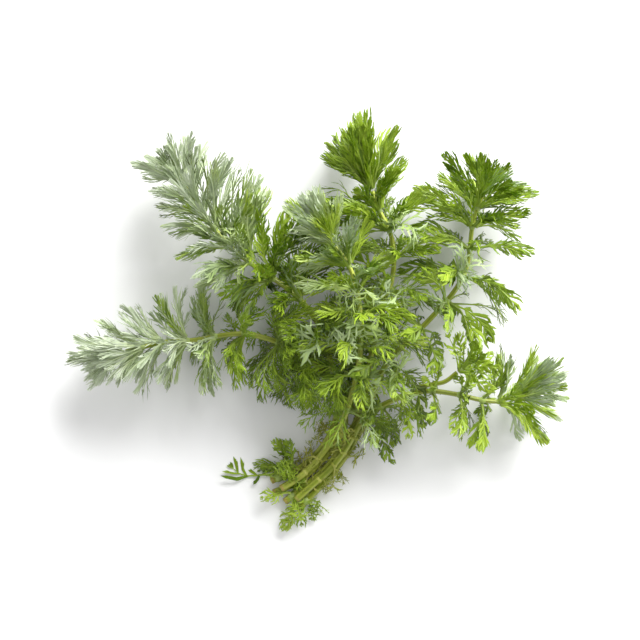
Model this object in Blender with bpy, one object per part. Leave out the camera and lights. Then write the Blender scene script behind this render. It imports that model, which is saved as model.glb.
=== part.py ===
# Dwarf ambulia: six cut shoots of a feathery aquarium plant, lying in a loose bunch.
# Each shoot is a stem, a shoot tip and the whorls of leaves round its stem nodes.
# X runs to the right and Y to the upper leaves, as the bunch lies on the XY plane.

import math
import random

import bmesh
import bpy
from mathutils import Vector
from mathutils.bvhtree import BVHTree

MM = 0.001

# Stem sizes, in millimetres, and the sides of a stem
CUT_RADIUS = 1.35
TIP_RADIUS = 0.8
SIDE_SHOOT_RADIUS = 0.85
STEM_STEP = 9.0
STEM_SIDES = 6

# The gaps that keep pieces apart, in millimetres
GAP = 0.3
LEAF_GAP = 0.35

# How finely a route's curve is followed between two points, and how far ahead and
# behind its heading is read, in millimetres
ROUTE_STEPS = 12
HEADING_REACH = 0.5

# Node ring sizes, in millimetres, its leaf slots, and how many slots each ring is
# turned from the one above it
RING_WALL = 0.55
RING_HALF_HEIGHT = 0.8
WHORL_SLOTS = 7
WHORL_TURN = 0.37

# Leaf sizes, in millimetres and shares of the leaf's length
STEP_SHARES = (0.30, 0.36, 0.34)
WIDTH_TO_LENGTH = 0.40
STALK_WIDTH = 1.5
STALK_DEPTH = 0.8
BLADE_DEPTH = 0.6

# The share of a stalk, from its slot, that may touch its own ring and the next stalks
STALK_FREE = 0.1

# How a leaf bends: the share of its curl at each step, the widest angle from its stem
# in degrees, and the least share of a step that stays where it lies down on the table
CURL_SHARES = (0.0, 0.45, 1.0)
WIDEST_OPENING = 165
LEAST_RUN = 0.4

# How far a blade turns its face up at its two sections, as shares, and how far it may
# lean over there before it is turned the other way round
FACE_UP = (0.4, 0.75)
FLIP_LIMITS = (-0.2, 0.0)

# How much leaves differ from their whorl's rule: share of length, and degrees
LENGTH_SPREAD = 0.12
ANGLE_SPREAD = 7

# How much longer the leaves on the right of a shoot's whorls are, as a share
RIGHT_GAIN = {"upper_left": 0.15, "lower_right": 0.10}

# A shoot tip's stub: the distance along it and the radius at each circle and its length,
# in millimetres, the turn of its first circle in slots, and its leaves' curl in degrees
STUB_CIRCLES = ((0.0, 0.85), (1.7, 1.05), (3.6, 0.95))
STUB_LENGTH = 5.6
STUB_TURN = 0.25
TIP_CURL = 8

# Leaf poses that are tried in turn, the smallest change first: turn and lift in degrees,
# and size, whose loss counts as this many degrees for the whole leaf
TURNS = (0, -12, 12, -24, 24, -36, 36)
LIFTS = (0, -12, 12, -24, 24, 36)
SIZES = (1.0, 0.86, 0.72, 0.56)
SIZE_COST = 126

# Stem routes from the cut end to the shoot tip, in millimetres
ROUTES = {
    "top": [
        (-14, -72.5, 2.5), (-5.5, -66, 2.5), (2.5, -59, 3), (8.5, -51, 5), (13.5, -42, 9),
        (17.5, -31.5, 13.5), (19, -20.5, 17), (21.5, -8.5, 20), (25, 4.5, 22), (28.5, 16.5, 22.5),
        (29, 27.5, 22.5), (26.5, 37.5, 22.5), (22.5, 45, 22.5), (20.5, 51, 22.5),
    ],
    "middle": [
        (-15.5, -67, 6.5), (-8, -62.5, 6), (-1, -55.5, 5.5), (4.5, -48, 9.5), (9, -40, 16),
        (13, -27.5, 22.5), (15.5, -15, 27.5), (16, -3, 31), (15, 8.5, 33.5), (12.5, 18.5, 34.5),
        (9.5, 24, 35), (6, 29, 35),
    ],
    "upper_left": [
        (-19.5, -64, 3), (-9.5, -60, 2.8), (-2.5, -54.5, 3), (3, -47.5, 5.5), (6.5, -39, 10.5),
        (7, -31, 15), (5.5, -22, 18.5), (3, -12, 21.5), (-0.5, -2, 23.5), (-6.5, 6.5, 24.5),
        (-15, 14, 25), (-27.5, 22.5, 25.5), (-36, 30, 25.5), (-44, 39, 25), (-49, 47, 24),
        (-53, 53, 23),
    ],
    "lower_left": [
        (-18.5, -69, 2.5), (-7.5, -63.5, 2.5), (0, -56.5, 3), (6, -49.5, 3.5), (10, -40.5, 5.5),
        (8.5, -31.5, 9), (3.5, -23, 13), (-4.5, -15, 16.5), (-16, -9, 19), (-29.5, -5.5, 21),
        (-41.5, -6.5, 21), (-50, -8, 21), (-60.5, -8.5, 20.5), (-69, -10.5, 20), (-77, -12.5, 19.5),
    ],
    "upper_right": [
        (-9.5, -71.5, 6.5), (-4, -66.5, 6), (3.5, -60, 5.5), (10, -51.5, 8.5), (15.5, -41.5, 12.5),
        (20, -32, 16), (23, -23.5, 18.5), (28, -15, 20.5), (34, -9, 22), (42.5, -0.5, 23),
        (51.5, 9.5, 24), (57, 18.5, 24.5), (59, 28, 24.5), (60, 37, 24), (62, 44, 23.5),
        (64, 49, 23),
    ],
    "lower_right": [
        (-8.5, -75, 2.5), (-3, -69.5, 2.5), (5, -61, 3), (11, -53, 3.5), (16.5, -43.5, 6),
        (22.5, -35.5, 11), (29.5, -31.5, 15.5), (36.5, -29, 18), (43.5, -28, 19.5), (52, -29, 20),
        (61.5, -31, 20), (69, -32.5, 19.5), (74.5, -30.5, 19),
    ],
    "side": [(38, -26.5, 20.5), (43, -25.5, 23), (48.5, -24.5, 25.5), (54, -20.5, 27.5)],
}

# Whorl places, in millimetres back from the shoot tip, with three values each, at the
# first, middle and last whorl, of the leaf length in millimetres, the opening from the
# stem and the backward curl in degrees, and the share of the slots that bear a leaf
WHORLS = {
    "top": ((8, 17, 28, 42, 58, 76), (22, 24, 22), (50, 72, 92), (18, 24, 30), (1, 1, 0.8)),
    "middle": ((9, 19, 30, 42, 55, 70), (20, 23, 20), (50, 74, 92), (18, 26, 34), (1, 1, 0.8)),
    "upper_left": (
        (6, 13, 21, 30, 40, 51, 64, 80, 98), (20, 26, 21), (42, 56, 92), (10, 18, 30), (1, 1, 0.8),
    ),
    "lower_left": ((7, 15, 25, 36, 48, 62, 77), (20, 23, 22), (34, 70, 92), (8, 20, 28), (1, 1, 0.8)),
    "upper_right": (
        (5, 13, 22, 33, 45, 60, 78), (22, 26, 22), (56, 84, 92), (14, 28, 36), (1, 1, 0.8),
    ),
    "lower_right": (
        (4, 11, 20, 31, 43, 54, 64), (21, 15, 16), (56, 82, 96), (18, 24, 30), (1, 0.6, 0.5),
    ),
    "side": ((), (), (), (), ()),
}

# Shoot tips: the lengths of the outer and inner leaves in millimetres, and their openings
TIPS = {
    "top": ((25, 26), (32, 14)),
    "middle": ((20, 21), (34, 15)),
    "upper_left": ((20, 16), (38, 16)),
    "lower_left": ((18, 18), (34, 14)),
    "upper_right": ((17, 12), (46, 20)),
    "lower_right": ((22, 22), (38, 15)),
    "side": ((15, 12), (62, 30)),
}

# The leaves left near the cut ends: the shoot, the place in millimetres from its cut end,
# the ring's turn in slots, and each leaf's slot, opening and curl in degrees, and length
# in millimetres
BASE_LEAVES = {
    "pronged_base_leaf": ("upper_left", 3.0, 0.5, ((4, 165, -60, 20), (2, 130, 30, 7))),
    "curled_base_leaves": (
        "upper_left", 8.0, 0.0, ((4, 142, 12, 15), (2, 95, 50, 11), (3, 84, 15, 14), (1, 62, 60, 8)),
    ),
    "pale_base_frond": (
        "top", 3.5, 0.0,
        ((6, 150, 10, 13), (0, 128, 15, 13), (5, 155, -15, 12), (3, 140, 10, 12), (1, 60, 25, 10)),
    ),
    "small_base_leaves": (
        "lower_right", 4.0, 0.0, ((0, 62, 25, 9), (6, 105, 15, 9), (1, 45, 50, 8), (5, 140, 10, 8)),
    ),
}

# The colour and roughness of each kind of piece
MATERIALS = {
    "stem": ((0.24, 0.29, 0.05), 0.45),
    "leaf": ((0.16, 0.24, 0.03), 0.5),
    "silver_leaf": ((0.42, 0.50, 0.33), 0.5),
}

# How many of a shoot's top whorls are silvery, as its tip is
SILVER_WHORLS = {"upper_left": 5, "lower_left": 4}


def between(values, share):
    """The value at a share of the way through a first, a middle and a last value."""
    first, middle, last = values
    if share < 0.5:
        return first + (middle - first) * share * 2
    return middle + (last - middle) * (share * 2 - 1)


class Route:
    """A smooth curve through a stem's points, measured along its length."""

    def __init__(self, points):
        ends = [Vector(p) for p in points]
        ends = [2 * ends[0] - ends[1]] + ends + [2 * ends[-1] - ends[-2]]
        self.points = []
        for a, b, c, d in zip(ends, ends[1:], ends[2:], ends[3:]):
            for step in range(ROUTE_STEPS):
                t = step / ROUTE_STEPS
                bend = (2 * a - 5 * b + 4 * c - d) * t * t + (3 * b - a - 3 * c + d) * t**3
                self.points.append(0.5 * (2 * b + (c - a) * t + bend))
        self.points.append(ends[-2])
        self.places = [0.0]
        for a, b in zip(self.points, self.points[1:]):
            self.places.append(self.places[-1] + (b - a).length)
        self.length = self.places[-1]

    def at(self, place):
        """The point that lies this far along the curve."""
        place = min(max(place, 0.0), self.length)
        for k in range(1, len(self.places)):
            if place <= self.places[k]:
                share = (place - self.places[k - 1]) / (self.places[k] - self.places[k - 1])
                return self.points[k - 1].lerp(self.points[k], share)
        return self.points[-1].copy()

    def heading(self, place):
        """The direction of growth at this place."""
        return (self.at(place + HEADING_REACH) - self.at(place - HEADING_REACH)).normalized()


def across(axis):
    """The directions to the right of an axis and upwards from it, seen from above."""
    right = axis.cross(Vector((0, 0, 1))).normalized()
    return right, right.cross(axis).normalized()


class Grown:
    """The solids that have grown so far, to keep new leaves clear of them."""

    def __init__(self):
        self.trees = []

    def add(self, points, faces, owner):
        tree = BVHTree.FromPolygons(points, faces)
        self.trees.append((tree, *self.box(points), owner))

    def is_clear(self, points, faces, skip=None):
        tree = BVHTree.FromPolygons(points, faces)
        low, high = self.box(points)
        for other, other_low, other_high, owner in self.trees:
            if owner == skip:
                continue
            if any(low[k] > other_high[k] or high[k] < other_low[k] for k in range(3)):
                continue
            if tree.overlap(other):
                return False
        return True

    @staticmethod
    def box(points):
        low = [min(p[k] for p in points) for k in range(3)]
        high = [max(p[k] for p in points) for k in range(3)]
        return low, high


def tube(rings):
    """The sides of a tube through rings of points, each side with both of its diagonals."""
    count = len(rings[0])
    points = [p for ring in rings for p in ring]
    faces = []
    for k in range(len(rings) - 1):
        for i in range(count):
            a, b = k * count + i, k * count + (i + 1) % count
            c, d = b + count, a + count
            faces += [(a, b, c), (a, c, d), (a, b, d), (b, c, d)]
    return points, faces


class Leaf:
    """One leaf: a stalk and a pointed blade with a keel, as sections along its midrib."""

    def __init__(self, start, axis, outward, opening, curl, length):
        side = outward.cross(axis).normalized()
        self.line = [start]
        self.sides = []
        self.normals = []
        self.widths = (STALK_WIDTH, WIDTH_TO_LENGTH * length)
        self.depths = (STALK_DEPTH, BLADE_DEPTH)
        for k, (share, turn) in enumerate(zip(STEP_SHARES, CURL_SHARES)):
            angle = math.radians(min(opening + curl * turn, WIDEST_OPENING))
            heading = axis * math.cos(angle) + outward * math.sin(angle)
            lowest = STALK_DEPTH if k < 2 else 0.0
            self.line.append(self.step(self.line[-1], heading, share * length, lowest))
        for k in range(2):
            along = (self.line[k + 2] - self.line[k]).normalized()
            level = along.cross(Vector((0, 0, 1))).normalized()
            level = -level if level.dot(side) < FLIP_LIMITS[k] else level
            flat = side.lerp(level, FACE_UP[k])
            flat = (flat - along * flat.dot(along)).normalized()
            if self.line[k + 1].z < abs(flat.z) * self.widths[k] / 2 + self.depths[k]:
                flat = level
            side = flat
            self.sides.append(flat)
            self.normals.append(flat.cross(along).normalized())

    @staticmethod
    def step(start, heading, length, lowest):
        """One step along the midrib, which lies down where it meets the table."""
        end = start + heading * length
        if end.z >= lowest:
            return end
        level = Vector((heading.x, heading.y, 0)).normalized()
        fall = start.z - lowest
        run = math.sqrt(max(length**2 - fall**2, (LEAST_RUN * length) ** 2))
        end = start + level * run
        end.z = lowest
        return end

    def section(self, k, spare=0.0):
        """The left, right and keel points of one section, grown by a spare margin."""
        middle = self.line[k + 1] + self.normals[k] * spare
        reach = self.sides[k] * (self.widths[k] / 2 + spare)
        keel = middle - self.normals[k] * (self.depths[k] + 2 * spare)
        return [middle - reach, middle + reach, keel]

    def blade(self, spare=0.0):
        """The blade from the end of its stalk to its tip."""
        points, faces = tube([self.section(0, spare), self.section(1, spare)])
        points.append(self.line[3] + (self.line[3] - self.line[2]).normalized() * spare)
        return points, faces + [(0, 1, 2), (3, 4, 6), (4, 5, 6), (5, 3, 6)]

    def stalk(self, base, spare=0.0, start=0.0):
        """The stalk from a share of the way out of its slot on the node ring to the blade."""
        first = [corner.lerp(end, start) for corner, end in zip(base, self.section(0))]
        return tube([first, self.section(0, spare)])

    def lowest(self):
        points = self.section(0) + self.section(1) + [self.line[3]]
        return min(p.z for p in points)


class Whorl:
    """Circles of points round an axis, with a leaf slot at each point of a lower circle."""

    def __init__(self, name, shoot, centre, axis, circles, turn, slots=WHORL_SLOTS):
        self.name = name
        self.shoot = shoot
        self.centre = centre
        self.axis = axis
        self.slots = slots
        self.right, self.up = across(axis)
        self.circles = []
        for k, (along, radius) in enumerate(circles):
            start = turn - 0.5 * k
            self.circles.append([self.point(along, radius, start + i) for i in range(slots)])
        self.turn = turn
        self.leaves = {}

    def direction(self, slot):
        angle = 2 * math.pi * slot / self.slots
        return self.right * math.cos(angle) + self.up * math.sin(angle)

    def point(self, along, radius, slot):
        return self.centre + self.axis * along + self.direction(slot) * radius

    def outward(self, band, i, turn=0):
        """The direction away from the axis at a slot, turned by this many degrees."""
        return self.direction(self.turn - 0.5 * band + i + turn * self.slots / 360)

    def slot_corners(self, band, i):
        """The two upper points and the lower point that a leaf grows from."""
        upper = self.circles[band + 1]
        return [upper[i], upper[(i + 1) % self.slots], self.circles[band][i]]

    def grow(self, band, i, opening, curl, length, grown):
        """Grow the leaf of one slot in the first pose that is clear of everything."""
        base = self.slot_corners(band, i)
        start = (base[0] + base[1]) / 2
        chance = random.Random(f"{self.name} {band} {i}")
        length *= 1 + chance.uniform(-LENGTH_SPREAD, LENGTH_SPREAD)
        opening += chance.uniform(-ANGLE_SPREAD, ANGLE_SPREAD)
        for turn, lift, size in POSES:
            outward = self.outward(band, i, turn)
            leaf = Leaf(start, self.axis, outward, opening + lift, curl, length * size)
            if leaf.lowest() >= 0 and self.has_room(leaf, base, grown):
                grown.add(*leaf.blade(), self.name)
                grown.add(*leaf.stalk(base), self.name)
                self.leaves[band, i] = leaf
                return

    def has_room(self, leaf, base, grown):
        """Whether a leaf, both as it is and grown by its gap, is clear of what has grown."""
        for spare in (0.0, LEAF_GAP):
            if not grown.is_clear(*leaf.blade(spare)):
                return False
            if not grown.is_clear(*leaf.stalk(base, spare), skip=self.name):
                return False
            if not grown.is_clear(*leaf.stalk(base, spare, STALK_FREE)):
                return False
        return True

    def body(self):
        """The ring itself, without leaves, as something to keep clear of."""
        return tube(self.circles)

    def gain(self, i):
        """The share by which one slot's leaf is longer for growing on the shoot's right."""
        return RIGHT_GAIN.get(self.shoot, 0) * self.outward(0, i).dot(self.right)


def pose_cost(pose):
    turn, lift, size = pose
    return abs(turn) + abs(lift) + (1 - size) * SIZE_COST


POSES = sorted(((t, l, s) for t in TURNS for l in LIFTS for s in SIZES), key=pose_cost)


def stem_radius(shoot, share):
    """A stem's radius at a share of its length, which narrows towards the tip."""
    thick = SIDE_SHOOT_RADIUS if shoot == "side" else CUT_RADIUS
    return thick + (TIP_RADIUS - thick) * share


def ring_places(shoot, route):
    """The places of a shoot's leaf whorls along its stem, from the tip down."""
    backs = WHORLS[shoot][0]
    places = {f"whorl_{shoot}_{k + 1}": route.length - back for k, back in enumerate(backs)}
    places.update({name: row[1] for name, row in BASE_LEAVES.items() if row[0] == shoot})
    return places


def stem_stations(shoot, route):
    """Points along a stem, one at each node ring, with the heading and radius at each."""
    stops = sorted([0.0, *ring_places(shoot, route).values(), route.length - GAP])
    places = [0.0]
    for a, b in zip(stops, stops[1:]):
        count = math.ceil((b - a) / STEM_STEP)
        places += [a + (b - a) * k / count for k in range(1, count + 1)]
    shares = [place / route.length for place in places]
    return [(route.at(p), route.heading(p), stem_radius(shoot, s)) for p, s in zip(places, shares)]


def stem_body(stations):
    """A stem's sides, to keep leaves clear of them."""
    rings = []
    for point, axis, radius in stations:
        right, up = across(axis)
        angles = [2 * math.pi * i / STEM_SIDES for i in range(STEM_SIDES)]
        rings.append([point + (right * math.cos(a) + up * math.sin(a)) * radius for a in angles])
    return tube(rings)


def whorl_ring(name, shoot, route, place, turn):
    """A node ring round a stem."""
    radius = stem_radius(shoot, place / route.length)
    outer = radius + GAP + RING_WALL
    circles = ((-RING_HALF_HEIGHT, outer), (RING_HALF_HEIGHT, outer))
    ring = Whorl(name, shoot, route.at(place), route.heading(place), circles, turn)
    inner = (radius + GAP) / math.cos(math.pi / WHORL_SLOTS)
    ring.inner = [ring.point(0, inner, turn - 0.5 + i) for i in range(WHORL_SLOTS)]
    return ring


def shoot_tip(shoot, route):
    """A shoot tip's stub, which goes on from the end of its stem."""
    axis = route.heading(route.length)
    tip = Whorl(f"tip_{shoot}", shoot, route.at(route.length), axis, STUB_CIRCLES, STUB_TURN)
    tip.apex = tip.centre + axis * STUB_LENGTH
    return tip


def grow_all(routes):
    """Place every ring and tip, then grow their leaves from the tips to the cut ends."""
    grown = Grown()
    rings = []
    plan = []
    for shoot, route in routes.items():
        grown.add(*stem_body(stem_stations(shoot, route)), f"stem_{shoot}")
        tip = shoot_tip(shoot, route)
        rings.append(tip)
        for band, (length, opening) in enumerate(zip(*TIPS[shoot])):
            order = band / len(TIPS[shoot])
            plan += [(order, tip, band, i, opening, TIP_CURL, length) for i in range(tip.slots)]
        places = ring_places(shoot, route)
        for k in range(len(WHORLS[shoot][0])):
            name = f"whorl_{shoot}_{k + 1}"
            ring = whorl_ring(name, shoot, route, places[name], k * WHORL_TURN)
            rings.append(ring)
            share = k / (len(WHORLS[shoot][0]) - 1)
            length, opening, curl, borne = [between(v, share) for v in WHORLS[shoot][1:]]
            chance = random.Random(name)
            slots = [i for i in range(ring.slots) if chance.random() < borne]
            plan += [(1 + k, ring, 0, i, opening, curl, length * (1 + ring.gain(i))) for i in slots]
    for name, (shoot, place, turn, leaves) in BASE_LEAVES.items():
        ring = whorl_ring(name, shoot, routes[shoot], place, turn)
        rings.append(ring)
        plan += [(0, ring, 0, *leaf) for leaf in leaves]
    for ring in rings:
        grown.add(*ring.body(), ring.name)
    for _, ring, band, i, opening, curl, length in sorted(plan, key=lambda row: row[0]):
        ring.grow(band, i, opening, curl, length, grown)
    return rings


def principled(name, colour, roughness):
    """A plain plant material of its own name."""
    material = bpy.data.materials.new(name)
    material.use_nodes = True
    shader = material.node_tree.nodes["Principled BSDF"]
    shader.inputs["Base Color"].default_value = (*colour, 1)
    shader.inputs["Roughness"].default_value = roughness
    shader.inputs["Metallic"].default_value = 0.0
    return material


def finish(obj, kind):
    """Link an object and give it its own material."""
    bpy.context.collection.objects.link(obj)
    obj.data.materials.append(principled(obj.name, *MATERIALS[kind]))


def leaf_kind(whorl):
    """The kind of leaf that a whorl bears."""
    silver = [f"whorl_{whorl.shoot}_{k + 1}" for k in range(SILVER_WHORLS.get(whorl.shoot, 0))]
    if silver and whorl.name in silver + [f"tip_{whorl.shoot}"]:
        return "silver_leaf"
    return "leaf"


def make_stem(shoot, route):
    """A stem as a tapered round curve with flat cut ends."""
    curve = bpy.data.curves.new(f"stem_{shoot}", "CURVE")
    curve.dimensions = "3D"
    curve.bevel_mode = "ROUND"
    curve.bevel_depth = CUT_RADIUS * MM
    curve.bevel_resolution = STEM_SIDES // 2 - 2
    curve.use_fill_caps = True
    stations = stem_stations(shoot, route)
    spline = curve.splines.new("POLY")
    spline.points.add(len(stations) - 1)
    spline.use_smooth = True
    for point, (place, _, radius) in zip(spline.points, stations):
        point.co = (*(place * MM), 1)
        point.radius = radius / CUT_RADIUS
    finish(bpy.data.objects.new(f"stem_{shoot}", curve), "stem")


def extrude_leaf(bm, face, leaf):
    """Draw a leaf out of the triangle of its slot, section by section, to its tip."""
    for k in range(2):
        face = bmesh.ops.extrude_discrete_faces(bm, faces=[face])["faces"][0]
        for vert, point in zip(face.verts, leaf.section(k)):
            vert.co = point * MM
    tip = bmesh.ops.poke(bm, faces=[face])["verts"][0]
    tip.co = leaf.line[3] * MM


def split_outwards(bm):
    """Split each four-sided face along the diagonal that makes a ridge and not a valley."""
    for face in [f for f in bm.faces if len(f.verts) == 4]:
        a, b, c, d = face.verts
        bend = (b.co - a.co).cross(c.co - a.co).dot(d.co - a.co)
        ends = (a, c) if bend < 0 else (b, d)
        bmesh.utils.face_split(face, *ends)
    bmesh.ops.triangulate(bm, faces=bm.faces)


def make_whorl(whorl):
    """A node ring or a shoot tip's stub with its leaves, as one closed solid."""
    bm = bmesh.new()
    circles = [[bm.verts.new(p * MM) for p in circle] for circle in whorl.circles]
    count = whorl.slots
    slots = {}
    for band in range(len(circles) - 1):
        lower, upper = circles[band], circles[band + 1]
        for i in range(count):
            j = (i + 1) % count
            slots[band, i] = bm.faces.new((upper[i], upper[j], lower[i]))
            bm.faces.new((lower[i], upper[j], lower[j]))
    if hasattr(whorl, "apex"):
        apex = bm.verts.new(whorl.apex * MM)
        for i in range(count):
            bm.faces.new((circles[-1][i], apex, circles[-1][(i + 1) % count]))
        bm.faces.new(circles[0])
    else:
        inner = [bm.verts.new(p * MM) for p in whorl.inner]
        for i in range(count):
            j = (i + 1) % count
            bm.faces.new((circles[1][j], circles[1][i], inner[i], inner[j]))
            bm.faces.new((circles[0][i], circles[0][j], inner[j]))
            bm.faces.new((inner[i], circles[0][i], inner[j]))
    for key, leaf in whorl.leaves.items():
        extrude_leaf(bm, slots[key], leaf)
    split_outwards(bm)
    mesh = bpy.data.meshes.new(whorl.name)
    bm.to_mesh(mesh)
    bm.free()
    finish(bpy.data.objects.new(whorl.name, mesh), leaf_kind(whorl))


def main():
    for obj in list(bpy.data.objects):
        bpy.data.objects.remove(obj, do_unlink=True)
    routes = {shoot: Route(points) for shoot, points in ROUTES.items()}
    for shoot, route in routes.items():
        make_stem(shoot, route)
    for whorl in grow_all(routes):
        make_whorl(whorl)


main()
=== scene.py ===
# Dwarf ambulia, dressed: fine feathery leaves, ridged stems and pale node rings grown
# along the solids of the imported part, on a pale table in soft light, seen from above.
# Lengths are in millimetres until a mesh is made. A leaf is drawn in its own space:
# along its midrib, across it and above its face.

import math
import zlib
from collections import namedtuple

import bmesh
import bpy
import numpy as np
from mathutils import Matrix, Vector


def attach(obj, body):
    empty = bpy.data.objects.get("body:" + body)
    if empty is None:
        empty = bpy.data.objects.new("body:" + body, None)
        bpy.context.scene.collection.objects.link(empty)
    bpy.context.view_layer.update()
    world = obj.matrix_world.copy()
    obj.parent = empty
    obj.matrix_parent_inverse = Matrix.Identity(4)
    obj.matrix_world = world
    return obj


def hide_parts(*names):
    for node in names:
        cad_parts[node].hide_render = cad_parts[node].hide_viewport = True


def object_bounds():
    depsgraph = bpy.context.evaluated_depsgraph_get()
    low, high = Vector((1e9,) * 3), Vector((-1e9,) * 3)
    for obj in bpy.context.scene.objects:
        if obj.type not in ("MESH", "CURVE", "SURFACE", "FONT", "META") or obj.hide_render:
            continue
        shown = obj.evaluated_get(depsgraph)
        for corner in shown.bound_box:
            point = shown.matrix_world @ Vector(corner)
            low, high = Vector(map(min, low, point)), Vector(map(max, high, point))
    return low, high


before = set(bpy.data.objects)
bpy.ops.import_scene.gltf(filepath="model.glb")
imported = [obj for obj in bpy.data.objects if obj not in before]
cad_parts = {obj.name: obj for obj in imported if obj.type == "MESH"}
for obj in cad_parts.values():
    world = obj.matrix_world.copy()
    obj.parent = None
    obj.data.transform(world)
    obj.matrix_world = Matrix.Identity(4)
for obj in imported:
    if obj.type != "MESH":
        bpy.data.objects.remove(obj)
cad_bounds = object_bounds()

MM = 0.001

# The top of the highest solid
HIGHEST = cad_bounds[1][2] / MM

# Solids are read with their corners joined, within this distance, in metres
WELD = 0.00001

# A leaf solid has four stations from its slot to its tip. A smooth midrib joins them, with
# this many steps from one to the next
SPINE_STEPS = 8

# Leaves that would sink into the table lie down on it: how high they start to do so,
# and how softly, in millimetres
LIE_DOWN = 0.5
LIE_SOFTNESS = 1.5

# Leaves reach no more than this above the highest solid, in millimetres
OVER_TOP = 0.9

# Cross-section of a leaf segment: how far its ridge stands above its edges
RIDGE = 0.16

# Stations along a segment and along a lobe, and the share of the half width at each
SEGMENT_STATIONS = (0.0, 0.4, 0.78)
SEGMENT_WIDTHS = (0.55, 0.95, 0.8)
LOBE_STATIONS = (0.0, 0.55)
LOBE_WIDTHS = (0.9, 0.75)

# The midrib: stations along it, its half width there in millimetres for a leaf as long as
# the model leaf, the part of that which is the same for every leaf, and its height as a
# share of its width
MODEL_LEAF = 24.0
RIB_SHARES = (0.0, 0.05, 0.13, 0.28, 0.43, 0.58, 0.74, 0.9)
RIB_WIDTHS = (1.0, 0.68, 0.5, 0.42, 0.37, 0.31, 0.24, 0.16)
RIB_LEAST = 0.4
RIB_HEIGHT = 0.6

# The midrib and the segments end at this share of a leaf's length
LEAF_END = 0.98

# The place of the last pair of segments along the midrib, and the least angle of a segment
LAST_PAIR = 0.90
LEAST_ANGLE = 4

# The reach and the half width of the segments, from the first pair to the last
REACH_PLACES = (0, 0.3, 0.65, 1)
REACH_SHARES = (0.6, 1.0, 0.85, 0.4)
WIDTH_PLACES = (0, 0.5, 1)
WIDTH_SHARES = (0.85, 1, 0.75)

# How much leaves differ in tone, and the segments of a leaf in place, as a share of their
# spacing, in angle in degrees and in reach
TONE_SPREAD = 0.16
PLACE_SPREAD = 0.42
ANGLE_SPREAD = 4.5
REACH_SPREAD = (0.72, 1.14)

# How much segments rise on average, how much they differ in roll, and in bend: in degrees,
# and as a share of the bend itself
SEGMENT_RISE = -0.04
ROLL_SPREAD = 0.35
BEND_SPREAD = 7
BEND_SHARE = 0.3

# The lobes of a segment: the places of the first and the last along it, how much these
# differ, how much the lobes differ in angle, length and rise, their half width as a share of
# the segment's, and how far they bend back as a share of their angle
LOBE_PLACES = (0.42, 0.82)
LOBE_SPREAD = 0.07
FORK_SPREAD = 5
LOBE_SIZE = (0.75, 1.15)
LOBE_RISE_SPREAD = 0.15
LOBE_HALF = 0.72
LOBE_BEND = -0.3

# A leaf design: pairs of segments, the bare share of the stalk, the segments' angles from
# the midrib at the first and last pair, the reach across and the half width as shares of
# the leaf's length, the lobes of a segment, their angle and their share of its length,
# how far the segments droop or rise at random, and how they bend on average, in degrees
Design = namedtuple("Design", "pairs bare first last reach half lobes fork lobe droop bend")
DESIGNS = {
    "crown": Design(9, 0.12, 24, 13, 0.125, 0.018, 2, 14, 0.30, 0.08, -9),
    "blade": Design(8, 0.24, 34, 18, 0.155, 0.020, 2, 20, 0.32, 0.13, -10),
    "feather": Design(6, 0.28, 42, 24, 0.215, 0.0155, 3, 27, 0.46, 0.20, -9),
    "sickle": Design(7, 0.20, 30, 18, 0.120, 0.017, 2, 18, 0.34, 0.14, -12),
    "fan": Design(8, 0.08, 15, 7, 0.115, 0.012, 1, 8, 0.35, 0.05, -4),
    "lobed": Design(4, 0.34, 48, 28, 0.185, 0.042, 2, 36, 0.38, 0.20, -9),
    "tuft": Design(7, 0.10, 58, 34, 0.330, 0.030, 3, 42, 0.45, 0.35, 40),
    "pronged": Design(3, 0.34, 55, 36, 0.330, 0.032, 1, 20, 0.30, 0.10, -24),
    "curled": Design(6, 0.16, 62, 40, 0.300, 0.034, 3, 45, 0.45, 0.45, 80),
    "wire": Design(4, 0.30, 24, 12, 0.130, 0.008, 2, 16, 0.50, 0.15, -12),
    "strand": Design(3, 0.40, 22, 12, 0.060, 0.012, 1, 20, 0.30, 0.30, 10),
    "pale": Design(4, 0.30, 55, 35, 0.230, 0.036, 2, 40, 0.45, 0.20, -15),
}

# Each shoot's designs from its tip to its lowest whorl
SHOOT_DESIGNS = {
    "top": ("crown", "blade", "feather"),
    "middle": ("crown", "blade", "feather"),
    "upper_left": ("fan", "fan", "blade", "feather"),
    "lower_left": ("fan", "fan", "sickle", "feather"),
    "upper_right": ("crown", "blade", "lobed"),
    "lower_right": ("fan", "lobed", "lobed"),
    "side": ("lobed", "lobed", "lobed"),
}

# The designs of the leaves near the cut ends, from the leftmost leaf to the rightmost
BASE_DESIGNS = {
    "pronged_base_leaf": ("pronged", "curled"),
    "curled_base_leaves": ("blade", "lobed", "curled"),
    "pale_base_frond": ("pale", "pale", "pale", "curled"),
    "small_base_leaves": ("curled", "lobed", "strand"),
}

# How light each shoot's leaves are, from 0 to 1, at its tip and at its lowest whorl, and
# how light the leaves near the cut ends are
TONES = {
    "top": (0.52, 0.42),
    "middle": (0.88, 0.33),
    "upper_left": (0.66, 0.33),
    "lower_left": (0.74, 0.3),
    "upper_right": (0.5, 0.34),
    "lower_right": (0.72, 0.35),
    "side": (0.5, 0.5),
}
BASE_TONES = {
    "pronged_base_leaf": 0.45,
    "curled_base_leaves": 0.55,
    "pale_base_frond": 0.9,
    "small_base_leaves": 0.7,
}

# How silvery leaves are by their distance from the tip of a silvery shoot, in millimetres
SILVER_REACH = {
    "upper_left": (10, 50),
    "lower_left": (22, 40),
    "middle": (-40, 24),
    "lower_right": (-40, 10),
}

# How many whorls below the tip of a silvery shoot have the silvery material
SILVER_WHORLS = {"upper_left": 5, "lower_left": 4}

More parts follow.
